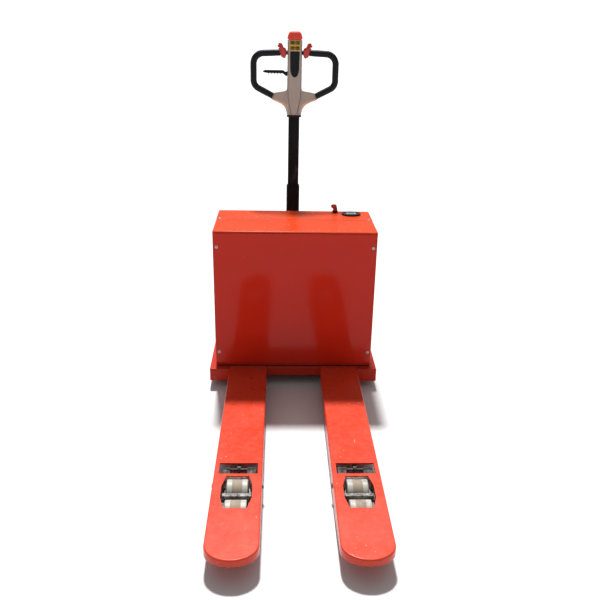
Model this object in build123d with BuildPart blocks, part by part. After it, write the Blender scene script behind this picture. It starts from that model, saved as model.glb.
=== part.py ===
"""Electric pallet truck: two forks, a battery box that lifts with them, and a steered drive unit.

Millimetres. +X to the right, +Y from the fork tips to the drive unit, +Z up. The origin is on the floor,
midway between the fork tips and the rear bumper, on the truck's middle plane. The forks are down.
"""

import os
from math import cos, radians, sin

from build123d import *

os.makedirs("parts", exist_ok=True)

# ---- Driving dimensions ------------------------------------------------------------------------
total_length = 1876
tip_y = -total_length / 2
rear_y = total_length / 2
running = 0.06  # radial clearance of a pin that turns in its bore
over = 1  # how far a cut runs past the face that it opens

# Forks
fork_width, fork_x = 160, 195
fork_top, steel, wall_foot = 85, 5, 29
fork_end_y = tip_y + 1160
nose_depth, nose_lip, nose_ramp = 66, 23, 238

# Base and battery box
base_half, base_front_y, base_back_y = 359, fork_end_y - 29, fork_end_y + 341
box_half, box_front_y, box_back_y, box_top = 334, fork_end_y + 0.6, fork_end_y + 340.8, 688
box_foot, sheet, lid_depth = fork_top + 6, 3, 6
seam_y = fork_end_y + 192
deck_under = fork_top - 6
mast_front_y, mast_back_y, mast_half, mast_top = base_back_y, base_back_y + 10, 215, 430

# Lift and linkage: the carriage rises and everything below turns through the same swing
lift_travel, swing = 105, 58.34
lug_arm = 30
lug_dy, lug_dz = lug_arm * sin(radians(swing / 2)), lug_arm * cos(radians(swing / 2))
pivot_y, pivot_z = -513, 40
bogie_y, bogie_z = -633, 46
rod_z = pivot_z + (lug_dz + lug_arm) / 2
crank_y, crank_z = 590, rod_z + (lug_dz + lug_arm) / 2
frame_pin_dy, frame_pin_dz = 94.06, lift_travel / 2
frame_pin_y, frame_pin_z = crank_y + frame_pin_dy, crank_z + frame_pin_dz
axle_r, lug_pin_r, bogie_pin_r, frame_pin_r = 10, 5, 6, 6

# Rollers
roller_r, roller_half, roller_pitch, roller_axle_r = 40, 35, 104.6, 6

# Drive frame
frame_half, frame_front_y, frame_back_y, frame_foot, frame_top = 330, 600, rear_y - 8, 40, 306
post_x, post_y, post_r, post_top = 140, 620, 15, 520
guide_feet, guide_height = (110, 330), 40
barrel_r, ram_r, barrel_top = 22, 12, 360
hood_front_y, hood_half, hood_top = 660, 325, 440

# Drive unit
steer_y, wheel_r, wheel_half = 780, 115, 35
column_r, table_foot, table_top = 80, 446, 456
castor_x, castor_y, castor_r, castor_trail, shelf_top = 225, 832, 50, 30, 148

# Tiller
tiller_y, tiller_pin_z = 875, 492
sleeve_half, sleeve_depth, sleeve_top = 31, 24, 737
post_half, post_depth, post_foot, collar_foot, head_foot = 25.5, 19, 620, 1062, 1070
bar_z, grip_r, core_r = 1344, 13.5, 9


def save(piece, label):
    """Writes one finished piece to its own file."""
    piece.label = label
    export_step(piece, f"parts/{label}.step")


def side_plane(x):
    """A sketch plane across the truck: sketch x is +Y, sketch y is +Z, and it extrudes towards +X."""
    return Plane(origin=(x, 0, 0), x_dir=(0, 1, 0), z_dir=(1, 0, 0))


def front_plane(y):
    """A sketch plane facing the tips: sketch x is +X, sketch y is +Z, and it extrudes towards -Y."""
    return Plane(origin=(0, y, 0), x_dir=(1, 0, 0), z_dir=(0, -1, 0))


def slab(x0, x1, y0, y1, z0, z1, mode=Mode.ADD):
    """A rectangular block between two corners."""
    with Locations(((x0 + x1) / 2, (y0 + y1) / 2, (z0 + z1) / 2)):
        Box(abs(x1 - x0), abs(y1 - y0), abs(z1 - z0), mode=mode)


def upright(x, y, z0, z1, radius, mode=Mode.ADD):
    """A round bar along Z."""
    with Locations((x, y, (z0 + z1) / 2)):
        Cylinder(radius, z1 - z0, mode=mode)


def across(x0, x1, y, z, radius, mode=Mode.ADD):
    """A round bar along X."""
    with Locations(((x0 + x1) / 2, y, z)):
        Cylinder(radius, abs(x1 - x0), rotation=(0, 90, 0), mode=mode)


def lengthwise(x, y0, y1, z, radius, mode=Mode.ADD):
    """A round bar along Y."""
    with Locations((x, (y0 + y1) / 2, z)):
        Cylinder(radius, y1 - y0, rotation=(90, 0, 0), mode=mode)


def link(x0, x1, ends, mode=Mode.ADD):
    """A flat plate that wraps round ends, each given as (y, z, radius), between two planes across X."""
    with BuildSketch(side_plane(min(x0, x1))) as profile:
        for y, z, radius in ends:
            with Locations((y, z)):
                Circle(radius)
        make_hull()
    extrude(profile.sketch, amount=abs(x1 - x0), mode=mode)


def both_sides(x, inner, outer):
    """The two (low, high) spans that lie from inner to outer on either side of x."""
    return [(x - outer, x - inner), (x + inner, x + outer)]


# ---- Forks -------------------------------------------------------------------------------------
slot_y, slot_width, slot_length = -515, 129, 58
window_y, window_length, window_side = -636.5, 159, 57
window_width, window_end = 99, 74
wall_bolt_y, wall_bolt_z, wall_bolt_r = -573, 57, 5
ramp_drop = 9  # how far the nose ramp's cut reaches below the walls


def fork_plan(x, inset, floor):
    """The fork's plan on a level plane: straight sides and a rounded nose, drawn in by inset."""
    half = fork_width / 2 - inset
    nose_y = tip_y + nose_depth
    with BuildSketch(Plane.XY.offset(floor)) as plan:
        with Locations((x, (nose_y + fork_end_y) / 2)):
            Rectangle(2 * half, fork_end_y - nose_y)
        with Locations((x, nose_y)):
            Ellipse(half, nose_depth - inset)
    return plan.sketch


def window_points():
    """The eight corners of the roller window, about its own middle."""
    wide, narrow = window_width / 2, window_end / 2
    long, short = window_length / 2, window_side / 2
    return [(narrow, long), (wide, short), (wide, -short), (narrow, -long),
            (-narrow, -long), (-wide, -short), (-wide, short), (-narrow, long)]


def make_fork(x):
    """A pressed channel, open below, with its cross slot, roller window and bolt holes."""
    with BuildPart() as fork:
        extrude(fork_plan(x, 0, wall_foot), amount=fork_top - wall_foot)
        rim = fork.faces().sort_by(Axis.Z)[-1].edges().sort_by(Axis.Y)[:-1]
        fillet(rim, radius=steel - 0.5)
        extrude(fork_plan(x, steel, wall_foot), amount=fork_top - steel - wall_foot, mode=Mode.SUBTRACT)
        with BuildSketch(side_plane(x - fork_width)) as ramp:
            Polygon((tip_y - over, wall_foot - ramp_drop), (tip_y - over, fork_top - nose_lip),
                    (tip_y + nose_ramp, wall_foot), (tip_y + nose_ramp, wall_foot - ramp_drop), align=None)
        extrude(ramp.sketch, amount=2 * fork_width, mode=Mode.SUBTRACT)
        slab(x - slot_width / 2, x + slot_width / 2, slot_y - slot_length / 2, slot_y + slot_length / 2,
             fork_top - steel - over, fork_top + over, Mode.SUBTRACT)
        with BuildSketch(Plane.XY.offset(fork_top - steel - over)) as window:
            with Locations((x, window_y)):
                Polygon(*window_points(), align=None)
        extrude(window.sketch, amount=steel + 2 * over, mode=Mode.SUBTRACT)
        across(x - fork_width, x + fork_width, pivot_y, pivot_z, axle_r, Mode.SUBTRACT)
        across(x - fork_width, x + fork_width, wall_bolt_y, wall_bolt_z, wall_bolt_r, Mode.SUBTRACT)
    return fork.part


fork_left = make_fork(-fork_x)
fork_right = make_fork(fork_x)
save(fork_left, "fork_left")
save(fork_right, "fork_right")

with BuildPart() as arm_axles:
    for x in (-fork_x, fork_x):
        across(x - fork_width / 2, x + fork_width / 2, pivot_y, pivot_z, axle_r)
save(arm_axles.part, "arm_axles")

bolt_head_r, bolt_head, bolt_nut = 8, 4.5, 5
with BuildPart() as wall_bolts:
    for x in (-fork_x, fork_x):
        for side in (-1, 1):
            outer = x + side * fork_width / 2
            inner = outer - side * steel
            across(outer, inner, wall_bolt_y, wall_bolt_z, wall_bolt_r)
            for face, reach in ((outer, side * bolt_head), (inner, -side * bolt_nut)):
                with BuildSketch(side_plane(min(face, face + reach))) as hexagon:
                    with Locations((wall_bolt_y, wall_bolt_z)):
                        RegularPolygon(radius=bolt_head_r, side_count=6)
                extrude(hexagon.sketch, amount=abs(reach))
save(wall_bolts.part, "wall_bolts")

# ---- Roller arms -------------------------------------------------------------------------------
arm_in, arm_out, lug_in = 49, 57, 29
arm_boss, arm_tube, arm_eye, lug_boss, pin_end = 18, 14, 15, 10, 58
lug_y, lug_z = pivot_y + lug_dy, pivot_z + lug_dz


def make_arm(x):
    """The cast arm that swings a bogie down: two side plates, each with a thick block for the lug pin."""
    with BuildPart() as arm:
        for low, high in both_sides(x, arm_in, arm_out):
            link(low, high, [(pivot_y, pivot_z, arm_boss), (bogie_y, bogie_z, arm_eye)])
        for low, high in both_sides(x, lug_in, arm_out):
            link(low, high, [(pivot_y, pivot_z, arm_boss), (lug_y, lug_z, lug_boss)])
        across(x - lug_in, x + lug_in, pivot_y, pivot_z, arm_tube)
        across(x - arm_out, x + arm_out, pivot_y, pivot_z, axle_r + running, Mode.SUBTRACT)
        across(x - arm_out, x + arm_out, bogie_y, bogie_z, bogie_pin_r, Mode.SUBTRACT)
        across(x - arm_out, x + arm_out, lug_y, lug_z, lug_pin_r, Mode.SUBTRACT)
    return arm.part


roller_arm_left = make_arm(-fork_x)
roller_arm_right = make_arm(fork_x)
save(roller_arm_left, "roller_arm_left")
save(roller_arm_right, "roller_arm_right")

with BuildPart() as arm_pins:
    for x in (-fork_x, fork_x):
        across(x - pin_end, x + pin_end, bogie_y, bogie_z, bogie_pin_r)
        across(x - pin_end, x + pin_end, lug_y, lug_z, lug_pin_r)
save(arm_pins.part, "arm_pins")

# ---- Bogies and load rollers -------------------------------------------------------------------
plate_in, plate_out = 38, 46
bridge_half, bridge_foot, bridge_top = 9, 30, 70
axle_boss, hub_spread = 12, 3
roller_ys = [bogie_y - roller_pitch / 2, bogie_y + roller_pitch / 2]


def make_bogie(x):
    """An H-shaped casting: two side plates with a cross bridge between the rollers."""
    with BuildPart() as bogie:
        for low, high in both_sides(x, plate_in, plate_out):
            link(low, high, [(y, roller_r, axle_boss) for y in roller_ys])
            link(low, high, [(bogie_y - hub_spread, bogie_z, axle_boss),
                             (bogie_y + hub_spread, bogie_z, axle_boss),
                             (bogie_y, bridge_top - bridge_half, bridge_half)])
        slab(x - plate_out, x + plate_out, bogie_y - bridge_half, bogie_y + bridge_half,
             bridge_foot, bridge_top)
        fillet(bogie.edges().filter_by(Axis.X).group_by(Axis.Z)[-1], radius=hub_spread)
        across(x - plate_out, x + plate_out, bogie_y, bogie_z, bogie_pin_r + running, Mode.SUBTRACT)
        for y in roller_ys:
            across(x - plate_out, x + plate_out, y, roller_r, roller_axle_r, Mode.SUBTRACT)
    return bogie.part


bogie_left = make_bogie(-fork_x)
bogie_right = make_bogie(fork_x)
save(bogie_left, "bogie_left")
save(bogie_right, "bogie_right")

with BuildPart() as roller_axles:
    for x in (-fork_x, fork_x):
        for y in roller_ys:
            across(x - plate_out, x + plate_out, y, roller_r, roller_axle_r)
save(roller_axles.part, "roller_axles")


shoulder, recess_r, recess = 4, 19, 3


def make_roller(x, y):
    """One load roller with rounded shoulders and a shallow bearing recess at each end."""
    with BuildPart() as roller:
        across(x - roller_half, x + roller_half, y, roller_r, roller_r)
        fillet(roller.edges().filter_by(GeomType.CIRCLE), radius=shoulder)
        for low, high in both_sides(x, roller_half - recess, roller_half):
            across(low, high, y, roller_r, recess_r, Mode.SUBTRACT)
        across(x - roller_half, x + roller_half, y, roller_r, roller_axle_r + running, Mode.SUBTRACT)
    return roller.part


for side_name, x in (("left", -fork_x), ("right", fork_x)):
    for end_name, y in (("front", roller_ys[0]), ("rear", roller_ys[1])):
        save(make_roller(x, y), f"roller_{side_name}_{end_name}")

# ---- Push rods and bell cranks -----------------------------------------------------------------
eye_r, eye_bore, rod_half, rod_r = 11, lug_pin_r + 2.4, 5.5, 8
crank_half, crank_lug_y, crank_lug_z = 6, crank_y + lug_dy, crank_z - lug_dz
crank_pin_r, crank_boss, crank_lug_boss, crank_tail = 8, 15, 9, 14
fork_root, slot_play = 40, 2.1  # the rod's fork behind its pin, and the crank slot's clearance round its pin

with BuildPart() as push_rods:
    for x in (-fork_x, fork_x):
        lengthwise(x, lug_y + rod_half, crank_lug_y - fork_root, rod_z, rod_r)
        for low, high in both_sides(x, crank_half + 1, crank_half + 5):
            link(low, high, [(crank_lug_y, rod_z, eye_r), (crank_lug_y - fork_root, rod_z, rod_r)])
        slab(x - crank_half - 5, x + crank_half + 5, crank_lug_y - fork_root - 8, crank_lug_y - fork_root + 4,
             rod_z - rod_r, rod_z + rod_r)
        across(x - rod_half, x + rod_half, lug_y, rod_z, eye_r)
        across(x - 2 * rod_half, x + 2 * rod_half, lug_y, rod_z, eye_bore, Mode.SUBTRACT)
        across(x - 2 * eye_r, x + 2 * eye_r, crank_lug_y, rod_z, eye_bore, Mode.SUBTRACT)
save(push_rods.part, "push_rods")

lever_angle = radians(swing / 2)
slot_reaches = (frame_pin_dy - 2.5, frame_pin_dy / cos(lever_angle) + 2.5)
with BuildPart() as bell_cranks:
    for x in (-fork_x, fork_x):
        link(x - crank_half, x + crank_half,
             [(crank_y, crank_z, crank_boss), (crank_lug_y, crank_lug_z, crank_lug_boss)])
        link(x - crank_half, x + crank_half,
             [(crank_y, crank_z, crank_boss), (frame_pin_y + 1, frame_pin_z, crank_tail)])
        link(x - crank_half, x + crank_half,
             [(crank_y + reach * cos(lever_angle), crank_z + reach * sin(lever_angle),
               frame_pin_r + slot_play)
              for reach in slot_reaches], Mode.SUBTRACT)
        across(x - crank_half, x + crank_half, crank_y, crank_z, crank_pin_r + running, Mode.SUBTRACT)
        across(x - 2 * crank_half, x + 2 * crank_half, crank_lug_y, crank_lug_z, lug_pin_r)
save(bell_cranks.part, "bell_cranks")

# ---- Base frame --------------------------------------------------------------------------------
wall_x = (fork_x - fork_width / 2 + steel / 2, fork_x + fork_width / 2 - steel / 2)
bar_front_y, bar_foot, bay_half = fork_end_y - 12, 46, fork_x - fork_width / 2
bracket_in, bracket_out, bracket_back_y, bracket_rise = 12.5, 19, crank_y + 14, 16
guide_half, bush_r, rib_half, ram_seat = 30, post_r + 5, 3, 15

with BuildPart() as base_frame:
    slab(-base_half, base_half, base_front_y, base_back_y, deck_under, fork_top)
    for low, high in both_sides(0, base_half - steel, base_half):
        slab(low, high, base_front_y, base_back_y, wall_foot, deck_under)
    for low, high in both_sides(0, fork_x + fork_width / 2, base_half):
        slab(low, high, base_front_y, base_front_y + steel, wall_foot, deck_under)
    fillet(base_frame.edges().filter_by(Axis.Z).group_by(Axis.Y)[0], radius=4)
    fillet(base_frame.edges().filter_by(Axis.Y).group_by(Axis.Z)[-1], radius=3)
    slab(-base_half, base_half, base_back_y - steel, base_back_y, wall_foot, deck_under)
    for low, high in both_sides(0, fork_x - fork_width / 2, fork_x + fork_width / 2):
        slab(low, high, base_front_y - over, fork_end_y, wall_foot, fork_top + over, Mode.SUBTRACT)
    slab(-bay_half, bay_half, base_front_y - over, bar_front_y, wall_foot, fork_top + over, Mode.SUBTRACT)
    slab(-bay_half, bay_half, bar_front_y, fork_end_y + 6, bar_foot, deck_under)
    bar_edges = base_frame.edges().filter_by(Axis.X)
    fillet(bar_edges.filter_by_position(Axis.Y, bar_front_y - 0.1, bar_front_y + 0.1), radius=4)
    for side in (-1, 1):
        for x in wall_x:
            slab(side * x - rib_half, side * x + rib_half, fork_end_y, base_back_y, wall_foot, deck_under)
    slab(-mast_half, mast_half, mast_front_y, mast_back_y, wall_foot, mast_top)
    for side in (-1, 1):
        for low, high in both_sides(side * fork_x, bracket_in, bracket_out):
            slab(low, high, mast_back_y, bracket_back_y, crank_z - bracket_rise, crank_z + bracket_rise)
        across(side * fork_x - bracket_out, side * fork_x + bracket_out, crank_y, crank_z, crank_pin_r)
        for foot in guide_feet:
            slab(side * post_x - guide_half, side * post_x + guide_half, mast_back_y, post_y + guide_half,
                 foot, foot + guide_height)
        slab(side * fork_x - 18, side * fork_x + 18, base_back_y - steel - over, mast_back_y + over,
             rod_z - bracket_rise, crank_z + bracket_rise + 2, Mode.SUBTRACT)
        upright(side * post_x, post_y, 100, 400, bush_r, Mode.SUBTRACT)
    slab(-35, 35, mast_back_y, post_y + 25, mast_top - ram_seat, mast_top)
save(base_frame.part, "base_frame")

with BuildPart() as guide_bushes:
    for side in (-1, 1):
        for foot in guide_feet:
            upright(side * post_x, post_y, foot, foot + guide_height, bush_r)
            upright(side * post_x, post_y, foot, foot + guide_height, post_r + running, Mode.SUBTRACT)
save(guide_bushes.part, "guide_bushes")

with BuildPart() as lift_ram:
    upright(0, post_y, barrel_top - 160, mast_top - ram_seat, ram_r)
save(lift_ram.part, "lift_ram")

# ---- Battery box -------------------------------------------------------------------------------
panel_gap, flange = 4, 30
lid_foot = box_top - lid_depth
panel_screw_x, panel_screw_zs, lid_screw_x = 318, (152, 622), 319
screw_r, screw_head_r, screw_head, screw_length = 3, 7, 3, 12

with BuildPart() as seal_strip:
    for inset, mode in ((4, Mode.ADD), (16, Mode.SUBTRACT)):
        slab(inset - box_half, box_half - inset, box_front_y + inset, box_back_y - inset, fork_top, box_foot,
             mode)
save(seal_strip.part, "seal_strip")

with BuildPart() as box_shell:
    slab(-box_half, box_half, box_front_y, box_back_y, box_foot, lid_foot)
    fillet(box_shell.edges().filter_by(Axis.Z), radius=4)
    slab(sheet - box_half, box_half - sheet, box_front_y - over, box_back_y - sheet, box_foot + sheet,
         lid_foot + over, Mode.SUBTRACT)
    for low, high in both_sides(0, box_half - flange, box_half - sheet):
        slab(low, high, box_front_y + sheet, box_front_y + 2 * sheet, box_foot + sheet, lid_foot)
        slab(low, high, box_front_y + 2 * sheet, box_back_y - sheet, lid_foot - sheet, lid_foot)
    slab(flange - box_half, box_half - flange, box_back_y - flange, box_back_y - sheet,
         lid_foot - sheet, lid_foot)
    slab(flange - box_half, box_half - flange, seam_y - 15, seam_y + 15, lid_foot - sheet, lid_foot)
    for side in (-1, 1):
        for z in panel_screw_zs:
            lengthwise(side * panel_screw_x, box_front_y + sheet, box_front_y + 2 * sheet, z, screw_r,
                       Mode.SUBTRACT)
        upright(side * lid_screw_x, seam_y, lid_foot - sheet, lid_foot, screw_r, Mode.SUBTRACT)
save(box_shell.part, "box_shell")

with BuildPart() as front_panel:
    slab(sheet + panel_gap - box_half, box_half - sheet - panel_gap, box_front_y, box_front_y + sheet,
         box_foot + sheet + panel_gap, lid_foot - panel_gap)
    for side in (-1, 1):
        for z in panel_screw_zs:
            lengthwise(side * panel_screw_x, box_front_y, box_front_y + sheet, z, screw_r, Mode.SUBTRACT)
save(front_panel.part, "front_panel")


def make_lid(y0, y1):
    """A folded sheet lid, hollow below, with a rounded edge and a half hole for the screws on its seam."""
    with BuildPart() as lid:
        slab(-box_half, box_half, y0, y1, lid_foot, box_top)
        ends = lid.faces().sort_by(Axis.Z)[-1].edges().filter_by(Axis.Y)
        fillet(ends, radius=3)
        slab(flange + 2 - box_half, box_half - flange - 2, y0 + 12, y1 - 12, lid_foot, box_top - sheet,
             Mode.SUBTRACT)
        for side in (-1, 1):
            upright(side * lid_screw_x, seam_y, lid_foot, box_top, screw_r, Mode.SUBTRACT)
    return lid.part


lid_front = make_lid(box_front_y, seam_y - 0.4)
lid_rear = make_lid(seam_y + 0.4, box_back_y)
save(lid_front, "lid_front")
save(lid_rear, "lid_rear")

with BuildPart() as panel_screws:
    for side in (-1, 1):
        for z in panel_screw_zs:
            lengthwise(side * panel_screw_x, box_front_y, box_front_y + screw_length, z, screw_r)
            lengthwise(side * panel_screw_x, box_front_y - screw_head, box_front_y, z, screw_head_r)
        upright(side * lid_screw_x, seam_y, box_top - screw_length - 2, box_top, screw_r)
        upright(side * lid_screw_x, seam_y, box_top, box_top + screw_head, screw_head_r)
save(panel_screws.part, "panel_screws")

battery_front_y, battery_back_y, battery_top = 260, 470, 420
with BuildPart() as batteries:
    for low, high in both_sides(0, 8, 290):
        slab(low, high, battery_front_y, battery_back_y, box_foot + sheet, battery_top)
        upright(low + 40, battery_front_y + 40, battery_top, battery_top + 14, 9)
        upright(high - 40, battery_front_y + 40, battery_top, battery_top + 14, 9)
save(batteries.part, "batteries")

with BuildPart() as controller:
    slab(-140, 140, 500, box_back_y - sheet, 440, 640)
    for fin in range(9):
        slab(-132 + 32 * fin, -126 + 32 * fin, 484, 500, 450, 630)
save(controller.part, "controller")

# ---- Battery gauge and isolator ----------------------------------------------------------------
gauge_x, gauge_y, gauge_length, gauge_width = 251, 506, 42, 32
gauge_rim, gauge_height, gauge_floor = 6, 7, 3
key_x, key_y, key_foot, key_top = 183, 545, box_top + 7, 720
key_stem_r, key_socket = 6, 5

with BuildPart() as gauge_bezel:
    with BuildSketch(Plane.XY.offset(box_top)) as bezel_plan:
        with Locations((gauge_x, gauge_y)):
            Ellipse(gauge_length, gauge_width)
    extrude(bezel_plan.sketch, amount=gauge_height)
    fillet(gauge_bezel.faces().sort_by(Axis.Z)[-1].edges(), radius=2)
    with BuildSketch(Plane.XY.offset(box_top + gauge_floor)) as well_plan:
        with Locations((gauge_x, gauge_y)):
            Ellipse(gauge_length - gauge_rim, gauge_width - gauge_rim)
    extrude(well_plan.sketch, amount=gauge_height, mode=Mode.SUBTRACT)
save(gauge_bezel.part, "gauge_bezel")

with BuildPart() as gauge_lens:
    with BuildSketch(Plane.XY.offset(box_top + gauge_floor)) as lens_plan:
        with Locations((gauge_x, gauge_y)):
            Ellipse(gauge_length - gauge_rim, gauge_width - gauge_rim)
    extrude(lens_plan.sketch, amount=gauge_height - gauge_floor - 1)
save(gauge_lens.part, "gauge_lens")

with BuildPart() as isolator_base:
    upright(key_x, key_y, box_top, key_foot, 12)
    upright(key_x, key_y, key_foot - key_socket, key_foot, key_stem_r + running, Mode.SUBTRACT)
save(isolator_base.part, "isolator_base")

with BuildPart() as isolator_key:
    upright(key_x, key_y, key_foot - key_socket, key_foot, key_stem_r)
    upright(key_x, key_y, key_foot, key_foot + 5, 11)
    with BuildSketch(Plane(origin=(key_x, key_y - 4, 0), x_dir=(1, 0, 0), z_dir=(0, -1, 0))) as blade:
        for dx, dz, radius in ((0, key_foot + 6, 5), (-2, key_top - 8, 8)):
            with Locations((dx, dz)):
                Circle(radius)
        make_hull()
    extrude(blade.sketch, amount=-8)
save(isolator_key.part, "isolator_key")

# ---- Drive frame -------------------------------------------------------------------------------
beam_top, beam_back_y, plate = 54, frame_front_y + 40, 10
lug_plate_in, lug_plate_out = 11, 19
shelf_in, shelf_front_y, shelf_back_y, kingpin_r = 180, 790, 880, 8
side_foot_in, side_foot_back_y = 288, castor_y - 90
ring_width = 14  # the slewing ring's width round the steering column

with BuildPart() as drive_frame:
    for low, high in both_sides(0, frame_half - plate, frame_half):
        slab(low, high, frame_front_y, frame_back_y, frame_foot, frame_top)
    slab(-frame_half, frame_half, frame_front_y + 60, frame_back_y, frame_top - plate, frame_top)
    slab(plate - frame_half, frame_half - plate, frame_front_y, beam_back_y, frame_foot, beam_top)
    slab(-frame_half, frame_half, frame_back_y - plate, frame_back_y, frame_foot + 20, frame_top)
    for side in (-1, 1):
        for low, high in both_sides(side * fork_x, lug_plate_in, lug_plate_out):
            slab(low, high, frame_front_y + 30, frame_pin_y + 16, frame_foot, beam_top)
            slab(low, high, 650, frame_pin_y + 16, beam_top, frame_pin_z)
            link(low, high, [(frame_pin_y, frame_pin_z, 16), (frame_pin_y - 18, frame_pin_z - 20, 16)])
        across(side * fork_x - lug_plate_out, side * fork_x + lug_plate_out, frame_pin_y, frame_pin_z,
               frame_pin_r)
        slab(side * shelf_in, side * (frame_half - plate), shelf_front_y, shelf_back_y,
             shelf_top - plate, shelf_top)
        upright(side * castor_x, castor_y, shelf_top - plate, shelf_top, kingpin_r + running, Mode.SUBTRACT)
        slab(side * side_foot_in, side * (frame_half - plate), beam_back_y, side_foot_back_y, frame_foot,
             beam_top)
    upright(0, steer_y, frame_top - plate, frame_top, column_r + ring_width, Mode.SUBTRACT)
save(drive_frame.part, "drive_frame")

with BuildPart() as guide_posts:
    for side in (-1, 1):
        upright(side * post_x, post_y, beam_top, post_top, post_r)
    chamfer(guide_posts.edges().filter_by(GeomType.CIRCLE).group_by(Axis.Z)[-1], length=2)
save(guide_posts.part, "guide_posts")

with BuildPart() as lift_cylinder:
    upright(0, post_y, beam_top, barrel_top, barrel_r)
    chamfer(lift_cylinder.edges().filter_by(GeomType.CIRCLE), length=2)
    upright(0, post_y, beam_top + 20, barrel_top, ram_r + running, Mode.SUBTRACT)
save(lift_cylinder.part, "lift_cylinder")

with BuildPart() as slewing_ring:
    upright(0, steer_y, frame_top - plate, frame_top + 8, column_r + ring_width)
    upright(0, steer_y, frame_top - plate, frame_top + 8, column_r + running, Mode.SUBTRACT)
save(slewing_ring.part, "slewing_ring")

with BuildPart() as drive_hood:
    slab(-hood_half, hood_half, hood_front_y, frame_back_y, frame_top, hood_top)
    fillet(drive_hood.edges().filter_by(Axis.Z), radius=24)
    fillet(drive_hood.faces().sort_by(Axis.Z)[-1].edges(), radius=14)
    for inset, ceiling in ((4, hood_top - 16), (16, hood_top - 4)):
        with BuildSketch(Plane.XY.offset(frame_top)) as hollow:
            with Locations((0, (hood_front_y + frame_back_y) / 2)):
                RectangleRounded(2 * (hood_half - inset), frame_back_y - hood_front_y - 2 * inset, 20)
        extrude(hollow.sketch, amount=ceiling - frame_top, mode=Mode.SUBTRACT)
    upright(0, steer_y, hood_top - 4, hood_top, column_r + 16, Mode.SUBTRACT)
save(drive_hood.part, "drive_hood")

with BuildPart() as bumper:
    slab(-frame_half, frame_half, frame_back_y, rear_y, 70, 140)
    fillet(bumper.edges().filter_by(Axis.X).group_by(Axis.Y)[-1], radius=4)
save(bumper.part, "bumper")

with BuildPart() as pump_unit:
    slab(-290, -130, 700, 860, frame_top, frame_top + 70)
    across(-285, -135, 790, frame_top + 95, 30)
save(pump_unit.part, "pump_unit")

# ---- Drive unit --------------------------------------------------------------------------------
case_in, case_out, flange_foot, flange_top, drive_axle_r = 42, 95, 240, 262, 15

with BuildPart() as gearbox_housing:
    link(case_in, case_out, [(steer_y, wheel_r, 55), (steer_y, flange_foot - 45, 55)])
    upright(0, steer_y, flange_foot, flange_top, column_r)
    across(case_in, case_out, steer_y, wheel_r, drive_axle_r + running, Mode.SUBTRACT)
save(gearbox_housing.part, "gearbox_housing")

with BuildPart() as steering_column:
    upright(0, steer_y, flange_top, table_foot, column_r)
    upright(0, steer_y, flange_top, table_foot, column_r - 8, Mode.SUBTRACT)
save(steering_column.part, "steering_column")

with BuildPart() as drive_motor:
    upright(0, steer_y, flange_top, 400, 62)
    upright(0, steer_y, 400, 430, 45)
save(drive_motor.part, "drive_motor")

cheek_in, cheek_out, cheek_r, tiller_pin_r = 33, 45, 28, 10
with BuildPart() as tiller_bracket:
    with BuildSketch(Plane.XY.offset(table_foot)) as table_plan:
        with Locations((0, steer_y)):
            Circle(110)
        with Locations((0, tiller_y)):
            Rectangle(2 * cheek_out, 2 * cheek_r)
        make_hull()
    extrude(table_plan.sketch, amount=table_top - table_foot)
    for low, high in both_sides(0, cheek_in, cheek_out):
        slab(low, high, tiller_y - cheek_r, tiller_y + cheek_r, table_top, tiller_pin_z)
        across(low, high, tiller_y, tiller_pin_z, cheek_r)
    across(-cheek_out, cheek_out, tiller_y, tiller_pin_z, tiller_pin_r, Mode.SUBTRACT)
save(tiller_bracket.part, "tiller_bracket")

with BuildPart() as tiller_pin:
    across(-cheek_out - 3, cheek_out + 3, tiller_y, tiller_pin_z, tiller_pin_r)
save(tiller_pin.part, "tiller_pin")

with BuildPart() as drive_tyre:
    across(-wheel_half, wheel_half, steer_y, wheel_r, wheel_r)
    fillet(drive_tyre.edges().filter_by(GeomType.CIRCLE), radius=4)
    across(-wheel_half, wheel_half, steer_y, wheel_r, wheel_r - 25, Mode.SUBTRACT)
save(drive_tyre.part, "drive_tyre")

with BuildPart() as drive_hub:
    across(-wheel_half, wheel_half, steer_y, wheel_r, wheel_r - 25)
    across(-wheel_half, -wheel_half + 12, steer_y, wheel_r, wheel_r - 40, Mode.SUBTRACT)
    across(-wheel_half + 10, case_out - 5, steer_y, wheel_r, drive_axle_r)
save(drive_hub.part, "drive_hub")

# ---- Castors -----------------------------------------------------------------------------------
castor_half, leg_in, leg_out, castor_axle_r = 17, 20, 26, 6
castor_wheel_y, crown_foot = castor_y - castor_trail, 116


def make_castor_fork(x):
    """A swivel plate with two legs, a wheel bolt and a kingpin that stands through the shelf."""
    with BuildPart() as castor_fork:
        for low, high in both_sides(x, leg_in, leg_out):
            link(low, high, [(castor_wheel_y, castor_r, 14), (castor_y - 20, crown_foot, 8),
                             (castor_y + 20, crown_foot, 8)])
        upright(x, castor_y, crown_foot, shelf_top - plate - 1, 32)
        upright(x, castor_y, shelf_top - plate - 1, shelf_top + 1, kingpin_r)
        upright(x, castor_y, shelf_top + 1, shelf_top + 9, 14)
        across(x - leg_out - 4, x + leg_out + 4, castor_wheel_y, castor_r, castor_axle_r)
    return castor_fork.part


def make_castor_wheel(x):
    """A castor wheel with rounded shoulders, bored for its bolt."""
    with BuildPart() as castor_wheel:
        across(x - castor_half, x + castor_half, castor_wheel_y, castor_r, castor_r)
        fillet(castor_wheel.edges().filter_by(GeomType.CIRCLE), radius=4)
        across(x - castor_half, x + castor_half, castor_wheel_y, castor_r, castor_axle_r + running,
               Mode.SUBTRACT)
    return castor_wheel.part


for side_name, x in (("left", -castor_x), ("right", castor_x)):
    save(make_castor_fork(x), f"castor_fork_{side_name}")
    save(make_castor_wheel(x), f"castor_wheel_{side_name}")

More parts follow.
